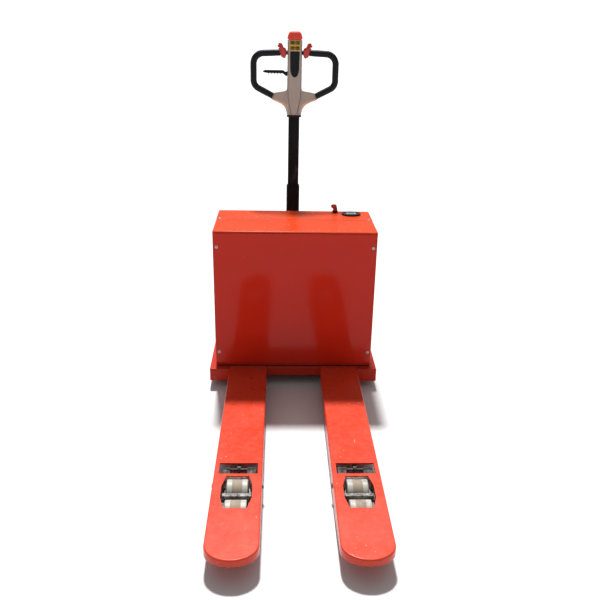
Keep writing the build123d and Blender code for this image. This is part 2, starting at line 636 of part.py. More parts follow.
# ---- Tiller arm --------------------------------------------------------------------------------
with BuildPart() as tiller_sleeve:
    across(-sleeve_half, sleeve_half, tiller_y, tiller_pin_z, sleeve_depth)
    slab(-sleeve_half, sleeve_half, tiller_y - sleeve_depth, tiller_y + sleeve_depth, tiller_pin_z,
         sleeve_top)
    fillet(tiller_sleeve.edges().filter_by(Axis.Z), radius=8)
    slab(-post_half, post_half, tiller_y - post_depth, tiller_y + post_depth, post_foot, sleeve_top,
         Mode.SUBTRACT)
    across(-sleeve_half, sleeve_half, tiller_y, tiller_pin_z, tiller_pin_r + running, Mode.SUBTRACT)
save(tiller_sleeve.part, "tiller_sleeve")

with BuildPart() as tiller_post:
    slab(-post_half, post_half, tiller_y - post_depth, tiller_y + post_depth, post_foot, head_foot)
    fillet(tiller_post.edges().filter_by(Axis.Z), radius=5)
save(tiller_post.part, "tiller_post")

with BuildPart() as tiller_collar:
    slab(-33.5, 33.5, tiller_y - 25, tiller_y + 25, collar_foot, head_foot)
    fillet(tiller_collar.edges().filter_by(Axis.Z), radius=8)
    slab(-post_half, post_half, tiller_y - post_depth, tiller_y + post_depth, collar_foot, head_foot,
         Mode.SUBTRACT)
save(tiller_collar.part, "tiller_collar")

# ---- Tiller head -------------------------------------------------------------------------------
head_half, head_depth, wing_depth, shell_wall, head_rim = 33.5, 25, 17, 3, 1398
head_outline = [(head_half, head_rim), (head_half, 1186), (40, 1179), (98, 1167), (105, 1155), (107, 1143),
                (97, 1133), (57, 1118), (40, 1098), (head_half, 1076), (head_half, head_foot)]
wing_outline = head_outline[1:-1]
grip_corners = [(66, bar_z), (178, 1339), (192, 1266), (180, 1188), (98, 1150)]
throttle_in, throttle_out, throttle_r = 37, 63, 15
lever_x, lever_z, lever_pin_r, ear_in, ear_out = -42, 1254, 3, 8, 13

with BuildPart() as handle_grips:
    for side in (-1, 1):
        with BuildLine(front_plane(tiller_y)) as grip_path:
            FilletPolyline(*[(side * x, z) for x, z in grip_corners], radius=24)
        start = grip_path.line @ 0
        with BuildSketch(Plane(origin=start, z_dir=grip_path.line % 0)) as grip_ring:
            Circle(grip_r)
        sweep(grip_ring.sketch, path=grip_path.line)
        across(side * (head_half - shell_wall), side * 66, tiller_y, bar_z, core_r)
save(handle_grips.part, "handle_grips")


def make_head_shell(facing):
    """One half of the head: a hollow column with two shallower wings. facing is -1 for the front half."""
    face_y = tiller_y + facing * head_depth
    with BuildPart() as shell:
        slab(-head_half, head_half, *sorted((tiller_y, face_y)), head_foot, head_rim)
        outer = shell.faces().sort_by(Axis.Y)[0 if facing < 0 else -1]
        fillet(outer.edges().filter_by(Axis.Z), radius=7)
        with BuildSketch(front_plane(tiller_y)) as wings:
            Polygon(*wing_outline, *[(-x, z) for x, z in reversed(wing_outline)], align=None)
        extrude(wings.sketch, amount=-facing * wing_depth)
        slab(shell_wall - head_half, head_half - shell_wall,
             *sorted((tiller_y, face_y - facing * shell_wall)), head_foot + 12, head_rim + 1, Mode.SUBTRACT)
        slab(lever_x - 6, -head_half, *sorted((tiller_y + facing * ear_in, tiller_y + facing * ear_out)),
             lever_z - 6, lever_z + 6)
        slab(lever_x - 6, shell_wall - head_half + 1, *sorted((tiller_y, tiller_y + facing * ear_in)),
             lever_z - 11, lever_z + 11, Mode.SUBTRACT)
        add(handle_grips.part, mode=Mode.SUBTRACT)
        if facing > 0:
            lengthwise(lever_x, tiller_y - ear_in, tiller_y + ear_in, lever_z, lever_pin_r)
    return shell.part


head_front_shell = make_head_shell(-1)
head_rear_shell = make_head_shell(1)
save(head_front_shell, "head_front_shell")
save(head_rear_shell, "head_rear_shell")

pad_foot, pad_top, pad_half, pad_depth = 1239, 1348, 21.5, 3
pad_rounds = [(0, pad_foot + 14, 14), (5 - pad_half, pad_top - 5, 5), (pad_half - 5, pad_top - 5, 5),
              (6 - pad_half, pad_foot + 50, 6), (pad_half - 6, pad_foot + 50, 6)]
with BuildPart() as palm_pad:
    with BuildSketch(front_plane(tiller_y - head_depth)) as pad_outline:
        for x, z, radius in pad_rounds:
            with Locations((x, z)):
                Circle(radius)
        make_hull()
    extrude(pad_outline.sketch, amount=pad_depth)
    fillet(palm_pad.faces().sort_by(Axis.Y)[0].edges(), radius=1.5)
save(palm_pad.part, "palm_pad")

with BuildPart() as keypad:
    slab(-24, 24, tiller_y - head_depth - 1.5, tiller_y - head_depth, 1353, 1396)
    fillet(keypad.edges().filter_by(Axis.Y), radius=4)
save(keypad.part, "keypad")

# ---- Head controls -----------------------------------------------------------------------------
with BuildPart() as throttle_butterfly:
    for side in (-1, 1):
        low, high = sorted((side * throttle_in, side * throttle_out))
        link(low, high, [(tiller_y, bar_z, throttle_r), (tiller_y - 14, bar_z + 36, 3)])
        across(low, high, tiller_y, bar_z, core_r + running, Mode.SUBTRACT)
save(throttle_butterfly.part, "throttle_butterfly")

cap_half, cap_depth, cap_skirt, cap_shoulder, cap_top = 30.1, 21.5, 1384, 1404, 1435
with BuildPart() as belly_button:
    slab(-cap_half, cap_half, tiller_y - cap_depth, tiller_y + cap_depth, cap_skirt, cap_shoulder)
    with BuildSketch(Plane.XY.offset(cap_shoulder)) as cap_low:
        with Locations((0, tiller_y)):
            Rectangle(2 * cap_half, 2 * cap_depth)
    with BuildSketch(Plane.XY.offset(cap_top)) as cap_high:
        with Locations((0, tiller_y)):
            Rectangle(39, 26)
    loft([cap_low.sketch.faces()[0], cap_high.sketch.faces()[0]])
    fillet(belly_button.faces().sort_by(Axis.Z)[-1].edges(), radius=5)
save(belly_button.part, "belly_button")

with BuildPart() as lowering_lever:
    with BuildSketch(front_plane(tiller_y - ear_in + 1)) as lever_outline:
        for (x0, z0, r0), (x1, z1, r1) in (((lever_x, lever_z, 6), (-55, 1262, 6)),
                                           ((-55, 1262, 6), (-140, 1261, 5))):
            with BuildSketch(mode=Mode.PRIVATE) as stretch:
                with Locations((x0, z0)):
                    Circle(r0)
                with Locations((x1, z1)):
                    Circle(r1)
                make_hull()
            add(stretch.sketch)
    extrude(lever_outline.sketch, amount=-2 * (ear_in - 1))
    lengthwise(lever_x, tiller_y - ear_in, tiller_y + ear_in, lever_z, lever_pin_r + running, Mode.SUBTRACT)
save(lowering_lever.part, "lowering_lever")
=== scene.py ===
import math

import bmesh
import bpy
from mathutils import Matrix, Vector


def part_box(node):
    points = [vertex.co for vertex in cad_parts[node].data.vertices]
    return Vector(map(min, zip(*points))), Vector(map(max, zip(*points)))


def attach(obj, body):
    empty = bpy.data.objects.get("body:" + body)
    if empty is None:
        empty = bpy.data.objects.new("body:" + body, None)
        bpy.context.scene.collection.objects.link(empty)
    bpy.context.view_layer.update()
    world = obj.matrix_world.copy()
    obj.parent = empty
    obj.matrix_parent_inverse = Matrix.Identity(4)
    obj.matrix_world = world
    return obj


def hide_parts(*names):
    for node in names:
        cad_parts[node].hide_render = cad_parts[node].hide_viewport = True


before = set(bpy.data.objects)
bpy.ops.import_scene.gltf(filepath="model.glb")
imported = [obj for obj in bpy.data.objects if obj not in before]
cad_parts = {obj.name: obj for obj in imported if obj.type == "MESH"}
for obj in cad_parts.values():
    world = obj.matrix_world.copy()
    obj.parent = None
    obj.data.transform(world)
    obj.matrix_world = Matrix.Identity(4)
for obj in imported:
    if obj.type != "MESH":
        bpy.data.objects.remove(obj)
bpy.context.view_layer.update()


class Value:
    # wraps one output socket, so that shader maths reads as an expression
    def __init__(self, shade, socket):
        self.shade = shade
        self.socket = socket

    def calc(self, operation, *others):
        values = {0: self}
        for place, other in enumerate(others, 1):
            values[place] = other
        return self.shade.node("ShaderNodeMath", {"operation": operation}, values)

    def flipped(self, operation, other):
        return self.shade.node("ShaderNodeMath", {"operation": operation}, {0: other, 1: self})

    def __add__(self, other):
        return self.calc("ADD", other)

    def __radd__(self, other):
        return self.flipped("ADD", other)

    def __sub__(self, other):
        return self.calc("SUBTRACT", other)

    def __rsub__(self, other):
        return self.flipped("SUBTRACT", other)

    def __mul__(self, other):
        return self.calc("MULTIPLY", other)

    def __rmul__(self, other):
        return self.flipped("MULTIPLY", other)

    def __truediv__(self, other):
        return self.calc("DIVIDE", other)

    def __abs__(self):
        return self.calc("ABSOLUTE")

    def over(self, low, high):
        # 0 below low, 1 above high, smooth between
        return self.shade.node("ShaderNodeMapRange", {"interpolation_type": "SMOOTHSTEP"},
                               {"Value": self, "From Min": low, "From Max": high})


class Shade:
    def __init__(self, name):
        self.material = bpy.data.materials.new(name)
        self.material.use_nodes = True
        self.tree = self.material.node_tree
        self.tree.nodes.clear()
        self.output = self.tree.nodes.new("ShaderNodeOutputMaterial")
        self.place = self.node("ShaderNodeTexCoord", out="Object")

    def feed(self, socket, value):
        if isinstance(value, Value):
            self.tree.links.new(value.socket, socket)
        elif isinstance(value, tuple) and len(value) == 3 and socket.type == "RGBA":
            socket.default_value = (*value, 1)
        else:
            socket.default_value = value

    def node(self, kind, settings=None, values=None, out=0):
        made = self.tree.nodes.new(kind)
        for key, value in (settings or {}).items():
            if key == "stops":
                while len(made.color_ramp.elements) < len(value):
                    made.color_ramp.elements.new(0.5)
                for stop, (at, shade) in zip(made.color_ramp.elements, value):
                    stop.position = at
                    stop.color = (*shade, 1)
            else:
                setattr(made, key, value)
        for key, value in (values or {}).items():
            self.feed(made.inputs[key], value)
        return Value(self, made.outputs[out])

    def mix(self, share, low, high):
        return self.node("ShaderNodeMix", {"data_type": "RGBA"}, {0: share, 6: low, 7: high}, out=2)

    def axis(self, name, source=None):
        return self.node("ShaderNodeSeparateXYZ", None, {0: source or self.place}, out=name)

    def stretched(self, x, y, z):
        return self.node("ShaderNodeVectorMath", {"operation": "MULTIPLY"}, {0: self.place, 1: (x, y, z)})

    def noise(self, scale, detail=4.0, rough=0.55, where=None):
        values = {"Vector": where or self.place, "Scale": scale, "Detail": detail, "Roughness": rough}
        return self.node("ShaderNodeTexNoise", None, values)

    def bump(self, height, strength, distance=0.001):
        values = {"Height": height, "Strength": strength, "Distance": distance}
        return self.node("ShaderNodeBump", None, values)

    def done(self, **values):
        named = {key.replace("_", " "): value for key, value in values.items()}
        surface = self.node("ShaderNodeBsdfPrincipled", None, named)
        self.tree.links.new(surface.socket, self.output.inputs["Surface"])
        return self.material


def redPaint(name, tint=(0.64, 0.046, 0.015), deep=(0.55, 0.030, 0.011), dust=0.25, scuff=0.5, gloss=0.2,
             shaded=False, sheen=0.24, coat=0.08):
    s = Shade(name)
    cloud = s.noise(9.0, 5.0)
    up = s.axis("Z", s.node("ShaderNodeTexCoord", out="Normal")).over(0.6, 0.95)
    fineDust = s.noise(55.0, 8.0, 0.75).over(0.42, 0.80)
    broadDust = s.noise(7.0, 4.0).over(0.4, 0.7)
    film = (fineDust * 0.5 + broadDust * 0.2) * up * dust
    streak = s.noise(60.0, 6.0, 0.6, s.stretched(1.0, 0.16, 1.0)).over(0.69, 0.74)
    cross = s.noise(75.0, 5.0, 0.6, s.stretched(0.15, 1.0, 1.0)).over(0.70, 0.75)
    patch = s.noise(6.0, 3.0).over(0.46, 0.60)
    chips = s.noise(130.0, 2.0).over(0.72, 0.745) * s.noise(9.0, 2.0).over(0.42, 0.58) * up
    scratch = (streak + cross) * patch * scuff
    paint = s.mix(cloud, deep, tint)
    paint = s.mix(film, paint, (0.62, 0.30, 0.23))
    paint = s.mix(scratch, paint, (0.80, 0.34, 0.27))
    paint = s.mix(chips * scuff, paint, (0.90, 0.66, 0.60))
    if shaded:
        # painted shade: the hollow of the pressed forks, beneath the fork deck, is painted near-black
        forkInsideShade = 1.0 - abs(abs(s.axis("X")) - 0.195).over(0.0738, 0.0748)
        forkInsideShade = forkInsideShade * s.axis("Y").over(-0.76, -0.75) * (1.0 - s.axis("Z").over(0.0782, 0.0795))
        paint = s.mix(forkInsideShade, paint, (0.014, 0.006, 0.006))
    peel = s.noise(420.0, 2.0) * 0.5 + s.noise(35.0, 2.0)
    rough = gloss + film * 0.5 + scratch * 0.3 + s.noise(22.0, 4.0) * 0.08
    return s.done(Base_Color=paint, Roughness=rough, Coat_Weight=coat - film * 0.3, Coat_Roughness=0.08,
                  Specular_IOR_Level=sheen, Normal=s.bump(peel - chips - scratch * 0.4, 0.05, 0.0006))


def darkPaint(name, tint=(0.0065, 0.0058, 0.0070), rough=0.52):
    s = Shade(name)
    grain = s.noise(900.0, 2.0)
    rub = s.noise(30.0, 6.0, 0.6, s.stretched(1.0, 1.0, 0.2)).over(0.62, 0.72)
    dust = s.noise(8.0, 6.0, 0.65).over(0.5, 0.8)
    tone = s.mix(dust * 0.35, tint, (0.040, 0.037, 0.036))
    tone = s.mix(rub * 0.30, tone, (0.08, 0.076, 0.072))
    return s.done(Base_Color=tone, Roughness=rough + dust * 0.18 + grain * 0.1, Specular_IOR_Level=0.12,
                  Normal=s.bump(grain, 0.12, 0.0004))


def softPlastic(name, tint, dusty, rough=0.5, grainScale=1400.0, grainDepth=0.25, coat=0.0, gloss=0.32,
                floorLightTint=None):
    s = Shade(name)
    grain = s.noise(grainScale, 2.0)
    patch = s.noise(12.0, 5.0, 0.6).over(0.42, 0.72)
    mark = s.noise(90.0, 4.0, 0.6, s.stretched(1.0, 1.0, 0.2)).over(0.68, 0.73)
    tone = s.mix(patch * 0.35, tint, dusty)
    tone = s.mix(mark * 0.4, tone, dusty)
    if floorLightTint:
        # painted light: a tan tint where it faces the floor, standing in for warm light thrown up from the
        # floor
        floorLightMask = s.axis("Z", s.node("ShaderNodeTexCoord", out="Normal")) * -1.0
        tone = s.mix(floorLightMask.over(0.22, 0.45), tone, floorLightTint)
    return s.done(Base_Color=tone, Roughness=rough + patch * 0.1 - mark * 0.08, Coat_Weight=coat,
                  Specular_IOR_Level=gloss, Normal=s.bump(grain + mark * 0.3, grainDepth, 0.0003))


def castMetal(name, dark=(0.020, 0.018, 0.017), middle=(0.13, 0.122, 0.116), pale=(0.38, 0.36, 0.34),
              shine=0.5, shadeFrom=None):
    s = Shade(name)
    blotch = s.noise(70.0, 7.0, 0.65)
    grease = s.noise(26.0, 5.0, 0.6).over(0.50, 0.66)
    glint = s.noise(240.0, 3.0, 0.6).over(0.58, 0.70)
    tone = s.node("ShaderNodeValToRGB", {"stops": [(0.34, dark), (0.50, middle), (0.68, pale)]},
                  {"Fac": blotch})
    tone = s.mix(grease * 0.75, tone, (0.030, 0.024, 0.019))
    tone = s.mix(glint * shine, tone, (0.52, 0.50, 0.47))
    # painted shade: near-black behind this depth, standing in for the shade at the back of the slot beneath
    # the forks
    if shadeFrom is not None:
        tone = s.mix(s.axis("Y").over(shadeFrom - 0.003, shadeFrom + 0.003), tone, (0.006, 0.005, 0.005))
    return s.done(Base_Color=tone, Metallic=0.45 - grease * 0.3,
                  Roughness=0.52 - grease * 0.2 + blotch * 0.12,
                  Normal=s.bump(blotch + s.noise(520.0, 3.0) * 0.4, 0.5, 0.0012))


def brightSteel(name, tint=(0.62, 0.61, 0.59)):
    s = Shade(name)
    turned = s.noise(260.0, 3.0, 0.5, s.stretched(6.0, 1.0, 1.0))
    stain = s.noise(40.0, 5.0, 0.6).over(0.55, 0.72)
    tone = s.mix(stain * 0.6, tint, (0.13, 0.10, 0.08))
    return s.done(Base_Color=tone, Metallic=1.0, Roughness=0.24 + turned * 0.2 + stain * 0.25,
                  Normal=s.bump(turned, 0.15, 0.0003))


def rollerNylon(name, middle=0.195, bandHalf=0.0165):
    s = Shade(name)
    offset = abs(abs(s.axis("X")) - middle)
    wobble = (s.noise(40.0, 3.0) - 0.5) * 0.004
    band = 1.0 - (offset + wobble).over(bandHalf - 0.0012, bandHalf + 0.0012)
    hub = 1.0 - offset.over(0.0315, 0.0325)
    ring = s.noise(160.0, 4.0, 0.6, s.stretched(1.0, 0.12, 0.12))
    grime = s.noise(34.0, 6.0, 0.65).over(0.52, 0.72)
    tone = s.mix(ring, (0.52, 0.51, 0.45), (0.38, 0.365, 0.315))
    worn = s.mix(ring, (0.34, 0.26, 0.185), (0.22, 0.17, 0.125))
    tone = s.mix(band * 0.85, tone, worn)
    tone = s.mix(grime * 0.65, tone, (0.15, 0.145, 0.15))
    tone = s.mix((1.0 - hub) * 0.6, tone, (0.30, 0.28, 0.26))
    return s.done(Base_Color=tone, Roughness=0.42 + band * 0.25 + grime * 0.1, Specular_IOR_Level=0.3,
                  Normal=s.bump(ring - band * 0.4 - grime * 0.3, 0.35, 0.0008))


def wheelRubber(name, tint=(0.045, 0.040, 0.036)):
    s = Shade(name)
    scuff = s.noise(45.0, 6.0, 0.65)
    tone = s.mix(scuff.over(0.4, 0.7), tint, (0.16, 0.14, 0.12))
    return s.done(Base_Color=tone, Roughness=0.62 + scuff * 0.2, Normal=s.bump(scuff, 0.4, 0.001))


def displayFace(name):
    s = Shade(name)
    haze = s.noise(60.0, 4.0).over(0.4, 0.8)
    tone = s.mix(haze * 0.3, (0.010, 0.011, 0.013), (0.07, 0.07, 0.075))
    return s.done(Base_Color=tone, Roughness=0.08 + haze * 0.1, Coat_Weight=1.0)


paints = {
    "red": redPaint("red_gloss_paint"),
    "redTop": redPaint("red_gloss_paint_scuffed", (0.66, 0.062, 0.010), (0.60, 0.048, 0.009),
                       dust=0.05, scuff=0.9, gloss=0.22, sheen=0.12, coat=0.02),
    "redFork": redPaint("red_gloss_paint_on_forks", (0.66, 0.050, 0.014), (0.58, 0.034, 0.012),
                        dust=0.22, scuff=1.0, gloss=0.24, shaded=True, sheen=0.26, coat=0.08),
    # painted shade: a darker copy of the red paint for the front panel, which stands in shade
    "redPanelInShade": redPaint("red_gloss_panel_painted_shade", (0.57, 0.022, 0.008), (0.53, 0.017, 0.006),
                         dust=0.0, scuff=0.25, gloss=0.06, sheen=0.17, coat=0.02),
    # painted shade: a darker copy of the red paint for the base frame, whose front faces stand in shade
    "redBaseInShade": redPaint("red_gloss_paint_on_base_painted_shade", (0.52, 0.034, 0.014), (0.44, 0.024, 0.012),
                        dust=0.12, scuff=0.9, gloss=0.24, sheen=0.12, coat=0.02),
    "dark": darkPaint("black_powder_coat"),
    "black": softPlastic("black_moulding", (0.0095, 0.0105, 0.0145), (0.020, 0.021, 0.025), 0.50,
                         gloss=0.16),
    "rubber": softPlastic("black_grip_rubber", (0.0075, 0.0080, 0.0110), (0.018, 0.018, 0.021), 0.55,
                          900.0, 0.5, gloss=0.20),
    # the tan tint on faces turned to the floor is painted light
    "grey": softPlastic("warm_grey_moulding", (0.40, 0.335, 0.285), (0.47, 0.41, 0.36), 0.34,
                        1600.0, 0.10, 0.1, floorLightTint=(0.58, 0.33, 0.18)),
    "redCap": softPlastic("red_button_plastic", (0.82, 0.075, 0.050), (0.82, 0.12, 0.09), 0.42,
                          900.0, 0.05, 0.0, 0.15),
    "redPlastic": softPlastic("red_moulding", (0.46, 0.022, 0.016), (0.56, 0.08, 0.06), 0.30,
                              900.0, 0.08, 0.4),
    "cast": castMetal("greasy_casting"),
    # painted shade: the arm turns near-black behind y = -0.506
    "armCast": castMetal("arm_casting", (0.04, 0.037, 0.034), (0.24, 0.225, 0.21), (0.50, 0.475, 0.45),
                         shadeFrom=-0.506),
    # painted shade over grease: a darker copy of the cast metal for the pins, rods and axles that sit in the
    # shade beneath the forks
    "darkCast": castMetal("greasy_casting_darkened_for_shade", (0.010, 0.009, 0.008), (0.040, 0.036, 0.033),
                          (0.11, 0.10, 0.095), 0.2),
    "steel": brightSteel("bright_steel"),
    "zinc": brightSteel("zinc_screw", (0.50, 0.52, 0.50)),
    "nylon": rollerNylon("worn_cream_nylon"),
    "tyre": wheelRubber("wheel_rubber"),
    "ochre": softPlastic("ochre_keypad", (0.62, 0.36, 0.025), (0.64, 0.44, 0.10), 0.42),
    "display": displayFace("dark_display_face"),
    "paleDisplay": softPlastic("pale_display", (0.55, 0.60, 0.62), (0.70, 0.73, 0.74), 0.2,
                               300.0, 0.05, 0.8),
}
print("materials", len(paints))


# CAD nodes that keep their shape take a better material
keptNodes = {
    "redFork": ["fork_left", "fork_right"],
    "redBaseInShade": ["base_frame"],
    "red": ["box_shell", "drive_hood"],
    "dark": ["drive_frame", "lift_cylinder", "pump_unit", "controller", "steering_column", "drive_motor",
             "tiller_bracket", "tiller_sleeve", "tiller_post"],
    "rubber": ["bumper", "seal_strip", "isolator_base"],
    "steel": ["guide_posts", "slewing_ring", "lift_ram", "guide_bushes", "arm_axles", "tiller_pin",
              "castor_fork_left", "castor_fork_right"],
    "armCast": ["roller_arm_left", "roller_arm_right"],
    "cast": ["bogie_left", "bogie_right", "bell_cranks",
             "gearbox_housing", "drive_hub", "wall_bolts"],
    "darkCast": ["arm_pins", "push_rods", "roller_axles"],
    "black": ["tiller_collar", "batteries", "gauge_bezel"],
    "nylon": ["roller_left_front", "roller_left_rear", "roller_right_front", "roller_right_rear"],
    "tyre": ["drive_tyre", "castor_wheel_left", "castor_wheel_right"],
}
for paint, names in keptNodes.items():
    for name in names:
        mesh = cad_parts[name].data
        mesh.materials.clear()
        mesh.materials.append(paints[paint])


def addPiece(name, mesh, paint, body, stands=(), smooth=40):
    piece = bpy.data.objects.new(name, mesh)
    bpy.context.scene.collection.objects.link(piece)
    mesh.materials.append(paints[paint])
    mesh.polygons.foreach_set("use_smooth", [True] * len(mesh.polygons))
    mesh.set_sharp_from_angle(angle=math.radians(smooth))
    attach(piece, body)
    if stands:
        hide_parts(*stands)
    return piece


def meshFrom(name, points, faces):
    mesh = bpy.data.meshes.new(name)
    mesh.from_pydata([tuple(p) for p in points], [], faces)
    work = bmesh.new()
    work.from_mesh(mesh)
    bmesh.ops.remove_doubles(work, verts=work.verts, dist=1e-6)
    bmesh.ops.recalc_face_normals(work, faces=work.faces)
    work.to_mesh(mesh)
    work.free()
    return mesh


def loft(name, rings):
    # closed rings of points in order, with flat ends
    count = len(rings[0])
    points = [p for ring in rings for p in ring]
    faces = []
    for row in range(len(rings) - 1):
        for i in range(count):
            j = (i + 1) % count
            faces.append((row * count + i, row * count + j, (row + 1) * count + j, (row + 1) * count + i))
    faces.append(tuple(reversed(range(count))))
    faces.append(tuple(range((len(rings) - 1) * count, len(rings) * count)))
    return meshFrom(name, points, faces)


def lathe(name, profile, origin, along, count=40):
    # profile pairs of (radius, distance along the axis)
    along = Vector(along).normalized()
    side = along.orthogonal().normalized()
    other = along.cross(side)
    rings = []
    for radius, reach in profile:
        middle = Vector(origin) + along * reach
        rings.append([middle + (side * math.cos(a) + other * math.sin(a)) * radius
                      for a in (2 * math.pi * i / count for i in range(count))])
    return loft(name, rings)


def platesFrom(name, shapes, bevel, segments=3):
    # each shape: outline of (x, z), front y, back y, or outline of (x, y) with upright=True
    work = bmesh.new()
    for outline, low, high, upright in shapes:
        if upright:
            ring = [work.verts.new((x, y, low)) for x, y in outline]
            shift = Vector((0, 0, high - low))
        else:
            ring = [work.verts.new((x, low, z)) for x, z in outline]
            shift = Vector((0, high - low, 0))
        face = work.faces.new(ring)
        grown = bmesh.ops.extrude_face_region(work, geom=[face])
        moved = [v for v in grown["geom"] if isinstance(v, bmesh.types.BMVert)]
        bmesh.ops.translate(work, verts=moved, vec=shift)
    bmesh.ops.recalc_face_normals(work, faces=work.faces)
    if bevel:
        rims = [e for e in work.edges if len(e.link_faces) == 2 and e.calc_face_angle() > math.radians(50)]
        bmesh.ops.bevel(work, geom=rims, offset=bevel, segments=segments, affect="EDGES", profile=0.5,
                        clamp_overlap=True)
    mesh = bpy.data.meshes.new(name)
    work.to_mesh(mesh)
    work.free()
    return mesh


def roundedPath(corners, radii, step=0.002):
    # straight runs joined by arcs, sampled evenly
    points = [Vector(corners[0])]
    for before, corner, after, radius in zip(corners, corners[1:], corners[2:], radii):
        before, corner, after = Vector(before), Vector(corner), Vector(after)
        into, away = (corner - before).normalized(), (after - corner).normalized()
        turn = into.angle(away)
        reach = radius * math.tan(turn / 2)
        start, end = corner - into * reach, corner + away * reach
        centre = corner + (away - into).normalized() * (radius / math.cos(turn / 2))
        count = max(3, int(radius * turn / step))
        first, last = start - centre, end - centre
        for i in range(count + 1):
            points.append(centre + first.slerp(last, i / count).normalized() * radius)
    points.append(Vector(corners[-1]))
    even = [points[0]]
    for a, b in zip(points, points[1:]):
        count = max(1, int((b - a).length / step))
        even += [a.lerp(b, (i + 1) / count) for i in range(count)]
    return even


def tube(name, path, radiusAt, flat=Vector((0, 1, 0)), count=28):
    # a tube along a path that lies in one plane, whose normal is flat
    total = len(path) - 1
    rings = []
    for i, p in enumerate(path):
        ahead = (path[min(i + 1, total)] - path[max(i - 1, 0)]).normalized()
        side = ahead.cross(flat).normalized()
        radius = radiusAt(i / total)
        rings.append([p + (side * math.cos(a) + flat * math.sin(a)) * radius
                      for a in (2 * math.pi * k / count for k in range(count))])
    return loft(name, rings)


covers = {"wave": 0.0003, "cuts": 36, "fade": 0.04, "panelBevel": 0.0012, "panelGrow": 0.0030,
          "frontLidBevel": 0.0028, "rearLidBevel": 0.0005}


def sheetPiece(name, node, paint, bevel, across, seed, grow=0.0):
    # a folded sheet cover with rounded edges and the faint waves of real sheet metal
    low, high = (Vector(c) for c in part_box(node))
    spread = Vector([0.0 if i == across else grow for i in range(3)])
    low, high = low - spread, high + spread
    work = bmesh.new()
    bmesh.ops.create_cube(work, size=1)
    for v in work.verts:
        v.co = Vector((low[i] + (high[i] - low[i]) * (v.co[i] + 0.5) for i in range(3)))
    bmesh.ops.bevel(work, geom=list(work.edges), offset=bevel, segments=4, affect="EDGES", profile=0.5)
    for axis in [i for i in range(3) if i != across]:
        for k in range(1, covers["cuts"]):
            at = low[axis] + (high[axis] - low[axis]) * k / covers["cuts"]
            normal = Vector((0, 0, 0))
            normal[axis] = 1
            whole = work.verts[:] + work.edges[:] + work.faces[:]
            bmesh.ops.bisect_plane(work, geom=whole, plane_co=normal * at, plane_no=normal)
    for v in work.verts:
        inset = min(min(v.co[i] - low[i], high[i] - v.co[i]) for i in range(3) if i != across)
        fade = max(0.0, min(1.0, (inset - bevel) / covers["fade"]))
        others = [v.co[i] for i in range(3) if i != across]
        swell = math.sin(others[0] * 9 + seed) * math.cos(others[1] * 7 + seed * 2)
        swell += 0.5 * math.sin(others[0] * 23 + others[1] * 17 + seed * 3)
        v.co[across] += covers["wave"] * fade * (swell - 1.5) * (-1 if across == 1 else 1)
    mesh = bpy.data.meshes.new(name)
    bmesh.ops.recalc_face_normals(work, faces=work.faces)
    work.to_mesh(mesh)
    work.free()
    return addPiece(name, mesh, paint, "carriage", (node,))


sheetPiece("front_cover", "front_panel", "redPanelInShade", covers["panelBevel"], 1, 0.4, covers["panelGrow"])
sheetPiece("lid_front_cover", "lid_front", "redTop", covers["frontLidBevel"], 2, 1.1)
sheetPiece("lid_rear_cover", "lid_rear", "redTop", covers["rearLidBevel"], 2, 2.3)
print("box covers")

# cross-headed screws on washers; inset and seam place them on the cover, heights are the panel's two rows
screw = {"radius": 0.0050, "dome": 0.0030, "washer": 0.0062, "washerHeight": 0.0008, "crossHalf": 0.0010,
         "crossReach": 0.0036, "recess": 0.0016, "rings": 20, "count": 56, "inset": 0.0075,
         "seam": 0.0004, "heights": (0.152, 0.622)}


def screwHead(centre, along):
    along = Vector(along)
    side = along.orthogonal().normalized()
    other = along.cross(side)
    turns = [2 * math.pi * i / screw["count"] for i in range(screw["count"])]
    rings = []
    for row in range(screw["rings"] + 1):
        radius = screw["radius"] * (1 - row / (screw["rings"] + 1))
        ring = []
        for a in turns:
            u, v = radius * math.cos(a), radius * math.sin(a)
            height = screw["washerHeight"] + screw["dome"] * (1 - (radius / screw["radius"]) ** 2.6)
            narrow, wide = sorted((abs(u), abs(v)))
            if narrow < screw["crossHalf"] and wide < screw["crossReach"]:
                height -= screw["recess"]
            ring.append(Vector(centre) + side * u + other * v + along * height)
        rings.append(ring)
    foot = [[Vector(centre) + (side * math.cos(a) + other * math.sin(a)) * screw["washer"] + along * h
             for a in turns] for h in (0.0, screw["washerHeight"])]
    return loft("screw", foot + rings)


def joinMeshes(name, meshes):
    work = bmesh.new()
    for mesh in meshes:
        work.from_mesh(mesh)
    whole = bpy.data.meshes.new(name)
    work.to_mesh(whole)
    work.free()
    return whole


panelFace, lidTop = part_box("front_panel")[0][1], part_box("lid_front")[1][2]
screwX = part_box("panel_screws")[1][0] - screw["inset"]
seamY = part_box("lid_front")[1][1] + screw["seam"]
heads = [screwHead((x, panelFace, z), (0, -1, 0)) for x in (-screwX, screwX) for z in screw["heights"]]
heads += [screwHead((x, seamY, lidTop), (0, 0, 1)) for x in (-screwX, screwX)]
addPiece("cover_screws", joinMeshes("cover_screws", heads), "zinc", "carriage",
         ("panel_screws",))
print("cover screws")

